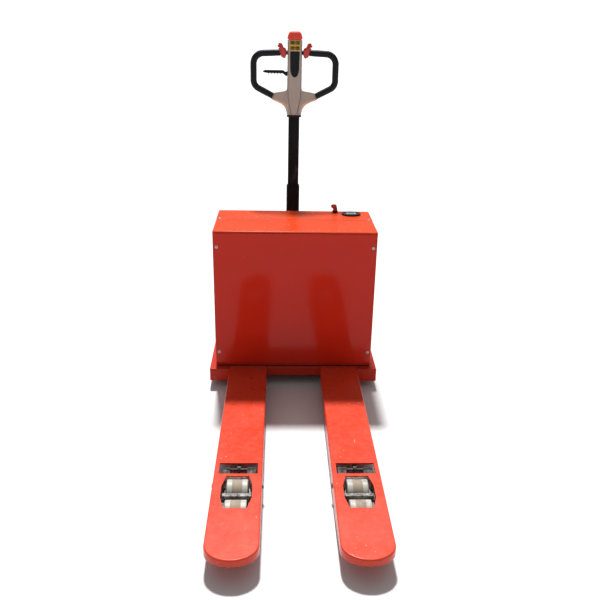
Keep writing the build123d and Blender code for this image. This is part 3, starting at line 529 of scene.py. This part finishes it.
# tiller head
tiller = {"y": sum(c[1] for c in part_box("tiller_post")) / 2, "foot": 1.070, "top": 1.398, "half": 0.0335,
          "depth": 0.0250, "wingDepth": 0.0165, "seam": 0.00025, "groove": 0.0016, "wingMiddle": 1.150,
          "wingBevel": 0.0100, "bevelReach": 0.021, "coreShare": 0.72, "coreTurn": 1.25,
          "rows": 220, "columns": 120}
wingRows = [(1.070, 0.0335), (1.078, 0.0345), (1.088, 0.0368), (1.098, 0.0402), (1.108, 0.0475),
            (1.118, 0.0585), (1.126, 0.0760), (1.133, 0.0940), (1.1375, 0.1040), (1.1415, 0.1075),
            (1.1455, 0.1074), (1.156, 0.1026), (1.1645, 0.0985), (1.1680, 0.0950), (1.1705, 0.0860),
            (1.1765, 0.0480), (1.180, 0.0370), (1.186, 0.0345), (1.200, 0.0338), (1.398, 0.0330)]
tongueRows = [(1.070, 0.0), (1.074, 0.012), (1.112, 0.0195), (1.152, 0.0272), (1.200, 0.0285),
              (1.398, 0.0290)]


def readRows(rows, z):
    # the value at a height, straight between the listed ones
    if z <= rows[0][0]:
        return rows[0][1]
    for (z0, v0), (z1, v1) in zip(rows, rows[1:]):
        if z <= z1:
            t = (z - z0) / (z1 - z0)
            return v0 + (v1 - v0) * t
    return rows[-1][1]


def smoothMax(a, b, soft):
    t = max(0.0, min(1.0, 0.5 + 0.5 * (a - b) / soft))
    return b + (a - b) * t + soft * t * (1 - t)


def headDepth(x, z, facing):
    half = readRows(wingRows, z)
    column = min(half, tiller["half"])
    core = tiller["depth"] * (1 - min(1.0, abs(x) / column) ** 5) ** (1 / 5)
    wing = tiller["wingDepth"] * (1 - min(1.0, abs(x) / half) ** 6) ** (1 / 6)
    if z < tiller["wingMiddle"]:
        wing -= tiller["wingBevel"] * max(0.0, 1 - (half - abs(x)) / tiller["bevelReach"])
    depth = smoothMax(core, wing, 0.003) if half > tiller["half"] * 1.06 else core
    if facing < 0:
        edge = (abs(x) - readRows(tongueRows, z)) / tiller["groove"]
        depth += 0.0010 if edge < 0 else -0.0030
        depth -= 0.0045 * math.exp(-(edge - 0.6) ** 2 * 2)
    ends = min(1.0, (z - tiller["foot"]) / 0.003 + 0.5, (tiller["top"] - z) / 0.003 + 0.4)
    return max(0.0004, depth - 0.0016 * (1 - ends))


def shellFrom(name, front, back, rows, columns):
    # a front and a back grid of points, closed all round
    wide = columns + 1
    size = len(front)
    faces = []
    for r in range(rows):
        for c in range(columns):
            a = r * wide + c
            faces.append((a, a + 1, a + wide + 1, a + wide))
            faces.append((size + a, size + a + wide, size + a + wide + 1, size + a + 1))
    for r in range(rows):
        for c in (0, columns):
            a = r * wide + c
            faces.append((a, a + wide, size + a + wide, size + a))
    for r in (0, rows):
        for c in range(columns):
            a = r * wide + c
            faces.append((a, size + a, size + a + 1, a + 1))
    return meshFrom(name, front + back, faces)


def headShell(name, facing, stands):
    front, back = [], []
    share, turn = tiller["coreShare"], tiller["coreTurn"]
    for r in range(tiller["rows"] + 1):
        z = tiller["foot"] + (tiller["top"] - tiller["foot"]) * r / tiller["rows"]
        half = readRows(wingRows, z)
        for c in range(tiller["columns"] + 1):
            t = 2 * c / tiller["columns"] - 1
            core = min(half, tiller["half"])
            if abs(t) < share:
                x = core * math.sin(t / share * turn) / math.sin(turn)
            else:
                x = math.copysign(core + (half - core) * (abs(t) - share) / 0.28, t)
            seat = tiller["y"] + facing * tiller["seam"]
            front.append((x, seat + facing * headDepth(x, z, facing), z))
            back.append((x, seat, z))
    mesh = shellFrom(name, front, back, tiller["rows"], tiller["columns"])
    return addPiece(name, mesh, "grey", "tiller", stands, 50)


headShell("head_front_casing", -1, ("head_front_shell",))
headShell("head_rear_casing", 1, ("head_rear_shell",))

gripCorners = [(0.066, 1.3440), (0.1880, 1.3385), (0.1880, 1.1986), (0.1000, 1.1541)]
gripRadii = [0.046, 0.040]


def gripRadius(t):
    ends = min(t, 1 - t)
    swell = 0.0006 if 0.06 < t < 0.94 else 0.0
    return 0.0140 + swell * min(1.0, (ends - 0.06) * 40) - (0.0012 if ends < 0.004 else 0.0)


# the bar through the head, as pairs of (radius, distance outwards)
bar = {"z": 1.344, "coreX": 0.0315, "collarX": 0.0655, "hubX": 0.0375, "core": [(0.009, 0), (0.009, 0.035)],
       "collar": [(0.0105, 0), (0.0138, 0.0012), (0.0142, 0.0025), (0.0142, 0.0045), (0.0136, 0.0056)],
       "hub": [(0.0092, 0), (0.0135, 0.001), (0.0142, 0.003), (0.0142, 0.021), (0.0135, 0.0235),
               (0.0092, 0.0245)]}
grips = []
for side in (-1, 1):
    corners = [(side * x, tiller["y"], z) for x, z in gripCorners]
    grips.append(tube("grip", roundedPath(corners, gripRadii), gripRadius))
    coreStart = (side * bar["coreX"], tiller["y"], bar["z"])
    collarStart = (side * bar["collarX"], tiller["y"], bar["z"])
    grips.append(lathe("core", bar["core"], coreStart, (side, 0, 0)))
    grips.append(lathe("collar", bar["collar"], collarStart, (side, 0, 0)))
addPiece("looped_grips", joinMeshes("looped_grips", grips), "rubber", "tiller",
         ("handle_grips",), 55)


# palm pad: a crowned pad with a rounded foot
pad = {"foot": 1.2385, "top": 1.3510, "half": 0.0222, "taper": 0.0012, "round": 0.046, "corner": 0.006,
       "thick": 0.0028, "edge": 0.0025, "groove": 0.0004, "groovePitch": 0.0075, "smoothRim": 0.004,
       "seat": 0.0008, "rows": 90, "columns": 40}


def padHalf(z):
    low = pad["foot"] + pad["round"]
    if z < low:
        t = (low - z) / pad["round"]
        return (pad["half"] - pad["taper"]) * math.sqrt(max(0.0, 1 - t ** 2.4))
    top = pad["top"] - pad["corner"]
    wide = pad["half"] - pad["taper"] * (pad["top"] - z) / (pad["top"] - low)
    if z > top:
        wide -= pad["corner"] - math.sqrt(max(0.0, pad["corner"] ** 2 - (z - top) ** 2))
    return wide


padFront, padBack = [], []
for r in range(pad["rows"] + 1):
    z = pad["foot"] + (pad["top"] - pad["foot"]) * r / pad["rows"]
    half = max(0.0006, padHalf(z))
    ripple = pad["groove"] * max(0.0, math.cos((z - pad["foot"]) * 2 * math.pi / pad["groovePitch"]))
    for c in range(pad["columns"] + 1):
        t = 2 * c / pad["columns"] - 1
        x = half * math.sin(t * math.pi / 2)
        edge = min(half - abs(x), z - pad["foot"], pad["top"] - z)
        crown = pad["thick"] * min(1.0, max(0.0, edge) / pad["edge"]) ** 0.5
        groove = ripple if edge > pad["smoothRim"] else 0.0
        base = tiller["y"] - headDepth(x, z, -1) + pad["seat"]
        padFront.append((x, base - crown + groove, z))
        padBack.append((x, base + 0.0004, z))
padMesh = shellFrom("thumb_rest_pad", padFront, padBack, pad["rows"], pad["columns"])
addPiece("thumb_rest_pad", padMesh, "black", "tiller", ("palm_pad",))


def roundedRectangle(x, z, halfX, halfZ, radius, count=6):
    left, right = x - halfX + radius, x + halfX - radius
    foot, top = z - halfZ + radius, z + halfZ - radius
    points = []
    for cx, cz, start in ((right, top, 0), (left, top, 90), (left, foot, 180), (right, foot, 270)):
        for i in range(count + 1):
            a = math.radians(start + 90 * i / count)
            points.append((cx + radius * math.cos(a), cz + radius * math.sin(a)))
    return points


# keypad: an ochre plate with four dark keys and plain pictograms
keys = {"middle": 1.3748, "half": 0.0240, "high": 0.0212, "keyHalf": 0.0093, "keyHigh": 0.0068,
        "dx": 0.0112, "dz": 0.0112}
faceY = tiller["y"] - headDepth(0, keys["middle"], -1)
plate = roundedRectangle(0, keys["middle"], keys["half"], keys["high"], 0.002)
plateMesh = platesFrom("keypad_plate", [(plate, faceY - 0.0010, faceY + 0.0022, False)], 0.0004)
addPiece("keypad_plate", plateMesh, "ochre", "tiller", ("keypad",))
keyShapes, signShapes = [], []
for column in (-1, 1):
    for row in (-1, 1):
        x, z = column * keys["dx"], keys["middle"] + row * keys["dz"] + 0.0004
        key = roundedRectangle(x, z, keys["keyHalf"], keys["keyHigh"], 0.0012)
        keyShapes.append((key, faceY - 0.0019, faceY - 0.0006, False))
        signY = (faceY - 0.0021, faceY - 0.0017)
        if column == row:
            for k in range(3):
                stripe = roundedRectangle(x + (k - 1) * 0.0045, z, 0.0008, 0.0038 - 0.001 * k, 0.0004)
                signShapes.append((stripe, *signY, False))
        else:
            for turn in (-1, 1):
                arrow = [(x + turn * 0.0022, z + 0.0034), (x + turn * 0.0052, z),
                         (x + turn * 0.0022, z - 0.0034)]
                signShapes.append((arrow[::turn], *signY, False))
addPiece("keypad_keys", platesFrom("keypad_keys", keyShapes, 0.0003), "black", "tiller")
addPiece("keypad_signs", platesFrom("keypad_signs", signShapes, 0), "ochre", "tiller")


def squircle(halfX, halfY, z, power=4.5, count=48):
    ring = []
    for i in range(count):
        a = 2 * math.pi * i / count
        c, s = math.cos(a), math.sin(a)
        reach = (abs(c) ** power + abs(s) ** power) ** (-1 / power)
        ring.append((halfX * c * reach, tiller["y"] + halfY * s * reach, z))
    return ring


# push cap, as rows of (half width, half depth, height)
capRows = [(0.0296, 0.0212, 1.385), (0.0300, 0.0215, 1.4020), (0.0336, 0.0244, 1.4026),
           (0.0342, 0.0250, 1.4042), (0.0342, 0.0250, 1.4066), (0.0336, 0.0245, 1.4090),
           (0.0325, 0.0234, 1.4125), (0.0313, 0.0222, 1.4180), (0.0293, 0.0204, 1.4235),
           (0.0264, 0.0176, 1.4285), (0.0228, 0.0142, 1.4322), (0.0178, 0.0100, 1.4344),
           (0.0100, 0.0050, 1.4350)]
addPiece("push_cap", loft("push_cap", [squircle(*row) for row in capRows]), "redCap", "belly",
         ("belly_button",), 50)

# thumb paddles: a hub round the bar and a leaning, ridged blade
paddleOutline = [(0.0390, 1.3320), (0.0420, 1.3235), (0.0475, 1.3190), (0.0550, 1.3225), (0.0610, 1.3265),
                 (0.0650, 1.3330), (0.0655, 1.3395), (0.0625, 1.3425), (0.0690, 1.3450), (0.0692, 1.3512),
                 (0.0650, 1.3538), (0.0738, 1.3562), (0.0745, 1.3628), (0.0690, 1.3654), (0.0782, 1.3682),
                 (0.0792, 1.3745), (0.0738, 1.3772), (0.0760, 1.3825), (0.0700, 1.3855), (0.0610, 1.3840),
                 (0.0560, 1.3780), (0.0530, 1.3700), (0.0500, 1.3665), (0.0440, 1.3645), (0.0400, 1.3600),
                 (0.0390, 1.3540), (0.0410, 1.3490), (0.0390, 1.3410)]
paddleShapes, hubs = [], []
for side in (-1, 1):
    outline = [(side * x, z) for x, z in paddleOutline][::side]
    paddleShapes.append((outline, tiller["y"] - 0.021, tiller["y"] - 0.0095, False))
    hubs.append(lathe("hub", bar["hub"], (side * bar["hubX"], tiller["y"], bar["z"]), (side, 0, 0)))
addPiece("thumb_paddles", joinMeshes("thumb_paddles", [platesFrom("paddles", paddleShapes, 0.0014)] + hubs),
         "redPlastic", "throttle", ("throttle_butterfly",), 50)

# lowering lever: a bent blade with finger ridges underneath
leverTop = [(-0.0400, 1.2600), (-0.0535, 1.2680), (-0.1350, 1.2680), (-0.1455, 1.2625), (-0.1455, 1.2590),
            (-0.1340, 1.2562)]
ridges = []
for k in range(5):
    x = -0.124 + 0.0135 * k
    ridges += [(x, 1.2552), (x + 0.0035, 1.2518), (x + 0.0075, 1.2518), (x + 0.0105, 1.2552)]
leverRoot = [(-0.0520, 1.2525), (-0.0390, 1.2415), (-0.0355, 1.2420), (-0.0350, 1.2560)]
leverOutline = leverTop + ridges + leverRoot
levers = [platesFrom("blade", [(leverOutline, tiller["y"] - 0.0068, tiller["y"] + 0.0068, False)], 0.0012),
          lathe("eye", [(0.0055, 0), (0.0062, 0.0006), (0.0062, 0.0130), (0.0055, 0.0136)],
                (-0.042, tiller["y"] - 0.0068, 1.254), (0, 1, 0))]
addPiece("lowering_blade", joinMeshes("lowering_blade", levers), "black", "lever",
         ("lowering_lever",), 50)
ears = []
for low, high in ((-0.0130, -0.0080), (0.0080, 0.0130)):
    outline = [(-0.0300, 1.2640), (-0.0400, 1.2615), (-0.0470, 1.2585), (-0.0488, 1.2540), (-0.0470, 1.2495),
               (-0.0400, 1.2465), (-0.0300, 1.2440)]
    ears.append(platesFrom("ear", [(outline, tiller["y"] + low, tiller["y"] + high, False)], 0.0010))
ears.append(lathe("pin", [(0.0030, 0), (0.0042, 0.0006), (0.0042, 0.0270), (0.0030, 0.0276)],
                  (-0.042, tiller["y"] - 0.0138, 1.254), (0, 1, 0)))
addPiece("lever_ears", joinMeshes("lever_ears", ears), "black", "tiller")
print("tiller head")

# pressed louvres and cover screws on the drive hood
hood = {"louvreHalf": 0.058, "louvreProud": 0.0060, "louvreHigh": 0.0125, "pitch": 0.0200, "rows": 4,
        "groupX": 0.150, "firstDrop": 0.040, "screwX": 0.285, "sideY": 0.045, "screwRise": 0.022,
        "columns": 28}
hoodLow, hoodHigh = (Vector(c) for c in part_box("drive_hood"))


def louvre(x, z):
    # a half bulge with a soft top and a sharp open lip below
    rings = []
    for i in range(hood["columns"] + 1):
        t = 2 * i / hood["columns"] - 1
        full = hood["louvreProud"] * max(0.04, (1 - abs(t) ** 4)) ** 0.5
        section = [(-0.0008, 0.0), (full * 0.18, -0.10), (full * 0.50, -0.32), (full * 0.82, -0.62),
                   (full, -0.92), (full * 0.96, -1.0), (full * 0.80, -0.98), (-0.0008, -0.96)]
        rings.append([Vector((x + t * hood["louvreHalf"], hoodHigh.y + y, z + h * hood["louvreHigh"]))
                      for y, h in section])
    return loft("louvre", rings)


louvres = [louvre(side * hood["groupX"], hoodHigh.z - hood["firstDrop"] - row * hood["pitch"])
           for side in (-1, 1) for row in range(hood["rows"])]
addPiece("hood_louvres", joinMeshes("hood_louvres", louvres), "red", "chassis")
screwZ = hoodLow.z + hood["screwRise"]
hoodScrews = [screwHead((side * hood["screwX"], hoodHigh.y, screwZ), (0, 1, 0)) for side in (-1, 1)]
for side, face in ((-1, hoodLow.x), (1, hoodHigh.x)):
    for y in (hoodLow.y + hood["sideY"], hoodHigh.y - hood["sideY"]):
        hoodScrews.append(screwHead((face, y, screwZ), (side, 0, 0)))
addPiece("hood_screws", joinMeshes("hood_screws", hoodScrews), "zinc", "chassis")
print("hood details")

# battery gauge face
dial = {"halfX": 0.0355, "halfY": 0.0255, "thick": 0.0028, "points": 64, "shiftY": 0.003, "windowX": 0.020,
        "windowY": 0.0105, "bars": 7, "firstBar": -0.0135, "barPitch": 0.0045, "barX": 0.0015,
        "barY": 0.0070}
gauge = [Vector(c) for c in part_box("gauge_lens")]
gaugeX, gaugeY, gaugeFoot = (gauge[0].x + gauge[1].x) / 2, (gauge[0].y + gauge[1].y) / 2, gauge[0].z
oval = [(gaugeX + dial["halfX"] * math.cos(a), gaugeY + dial["halfY"] * math.sin(a))
        for a in (2 * math.pi * i / dial["points"] for i in range(dial["points"]))]
faceMesh = platesFrom("gauge_face", [(oval, gaugeFoot, gaugeFoot + dial["thick"], True)], 0.0006)
addPiece("gauge_face", faceMesh, "display", "carriage", ("gauge_lens",))
pane = roundedRectangle(gaugeX, gaugeY + dial["shiftY"], dial["windowX"], dial["windowY"], 0.002)
windowMesh = platesFrom("gauge_window", [(pane, gaugeFoot + 0.0026, gaugeFoot + 0.0031, True)], 0.0002)
addPiece("gauge_window", windowMesh, "paleDisplay", "carriage")
bars = []
for k in range(dial["bars"]):
    barX = gaugeX + dial["firstBar"] + dial["barPitch"] * k
    stripe = roundedRectangle(barX, gaugeY + dial["shiftY"], dial["barX"], dial["barY"], 0.0004)
    bars.append((stripe, gaugeFoot + 0.0030, gaugeFoot + 0.0033, True))
addPiece("gauge_bars", platesFrom("gauge_bars", bars, 0), "display", "carriage")

# isolator key: a hub and a leaning finger grip
keyLow, keyHigh = (Vector(c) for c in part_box("isolator_key"))
keyX, keyY, keyFoot = (keyLow.x + keyHigh.x) / 2, (keyLow.y + keyHigh.y) / 2, keyLow.z + 0.005
bladeOutline = [(0.0100, 0.002), (0.0090, 0.012), (0.0050, 0.0265), (0.0010, 0.0285), (-0.0150, 0.0280),
                (-0.0185, 0.0245), (-0.0185, 0.0165), (-0.0125, 0.0120), (-0.0060, 0.0065), (-0.0050, 0.001)]
blade = [(keyX + x, keyFoot + z) for x, z in bladeOutline]
hubProfile = [(0.006, -0.004), (0.006, 0.0002), (0.0105, 0.0004), (0.0112, 0.0014), (0.0112, 0.0040),
              (0.0100, 0.0052), (0.0060, 0.0058)]
keyParts = [platesFrom("blade", [(blade, keyY - 0.0065, keyY + 0.0065, False)], 0.0016),
            lathe("hub", hubProfile, (keyX, keyY, keyFoot), (0, 0, 1))]
addPiece("isolator_handle", joinMeshes("isolator_handle", keyParts), "redPlastic", "isolator",
         ("isolator_key",), 50)
print("gauge and isolator")


# floor, light and camera
def stageFloor():
    s = Shade("pale_floor")
    shade = s.mix(s.noise(2.0, 3.0), (0.66, 0.66, 0.66), (0.70, 0.70, 0.70))
    material = s.done(Base_Color=shade, Roughness=0.75)
    mesh = meshFrom("floor", [(-40, -40, 0), (40, -40, 0), (40, 60, 0), (-40, 60, 0)], [(0, 1, 2, 3)])
    floor = bpy.data.objects.new("floor", mesh)
    mesh.materials.append(material)
    bpy.context.scene.collection.objects.link(floor)


stageFloor()
light = {"sunAngle": 5.0, "sunPower": 4.9, "sunHeight": 62, "turn": 4, "front": 0.28, "horizon": 1.06,
         "low": 0.20, "high": 0.85}


def studioSky():
    # white at the horizon, dim just above it and bright overhead, stronger behind the object than in front
    world = bpy.data.worlds.new("studio")
    world.use_nodes = True
    tree = world.node_tree
    place = tree.nodes.new("ShaderNodeTexCoord")
    parts = tree.nodes.new("ShaderNodeSeparateXYZ")
    tree.links.new(place.outputs["Generated"], parts.inputs[0])

    def step(source, start, end, low, high):
        made = tree.nodes.new("ShaderNodeMapRange")
        made.interpolation_type = "SMOOTHSTEP"
        tree.links.new(source, made.inputs["Value"])
        for name, value in (("From Min", start), ("From Max", end), ("To Min", low), ("To Max", high)):
            if isinstance(value, bpy.types.NodeSocket):
                tree.links.new(value, made.inputs[name])
            else:
                made.inputs[name].default_value = value
        return made.outputs[0]

    lower = step(parts.outputs["Z"], 0.10, 0.17, light["horizon"], light["low"])
    height = step(parts.outputs["Z"], 0.40, 0.56, lower, light["high"])
    strength = step(parts.outputs["Y"], 0.0, 0.6, light["front"], height)
    tree.links.new(strength, tree.nodes["Background"].inputs["Strength"])
    tree.nodes["Background"].inputs["Color"].default_value = (1, 1, 1, 1)
    bpy.context.scene.world = world


studioSky()
sun = bpy.data.objects.new("sun", bpy.data.lights.new("sun", "SUN"))
sun.data.energy = light["sunPower"]
sun.data.angle = math.radians(light["sunAngle"])
sun.rotation_euler = (-math.radians(90 - light["sunHeight"]), 0, math.radians(light["turn"]))
bpy.context.scene.collection.objects.link(sun)
bpy.context.scene.view_settings.view_transform = "Standard"

view = {"place": (-0.0651, -2.4042, 1.4467), "yaw": 0.0337, "pitch": 0.381, "roll": 0.0194, "lens": 40.66}
camera = bpy.data.objects.new("camera", bpy.data.cameras.new("camera"))
camera.data.lens = view["lens"]
camera.data.sensor_width = 36
flatAhead = Vector((math.sin(view["yaw"]), math.cos(view["yaw"]), 0))
ahead = flatAhead * math.cos(view["pitch"]) - Vector((0, 0, math.sin(view["pitch"])))
level = Vector((math.cos(view["yaw"]), -math.sin(view["yaw"]), 0))
upright = level.cross(ahead)
right = level * math.cos(view["roll"]) + upright * math.sin(view["roll"])
top = upright * math.cos(view["roll"]) - level * math.sin(view["roll"])
turned = Matrix((right, top, -ahead)).transposed()
camera.matrix_world = Matrix.Translation(view["place"]) @ turned.to_4x4()
bpy.context.scene.collection.objects.link(camera)
bpy.context.scene.camera = camera
print("stage")
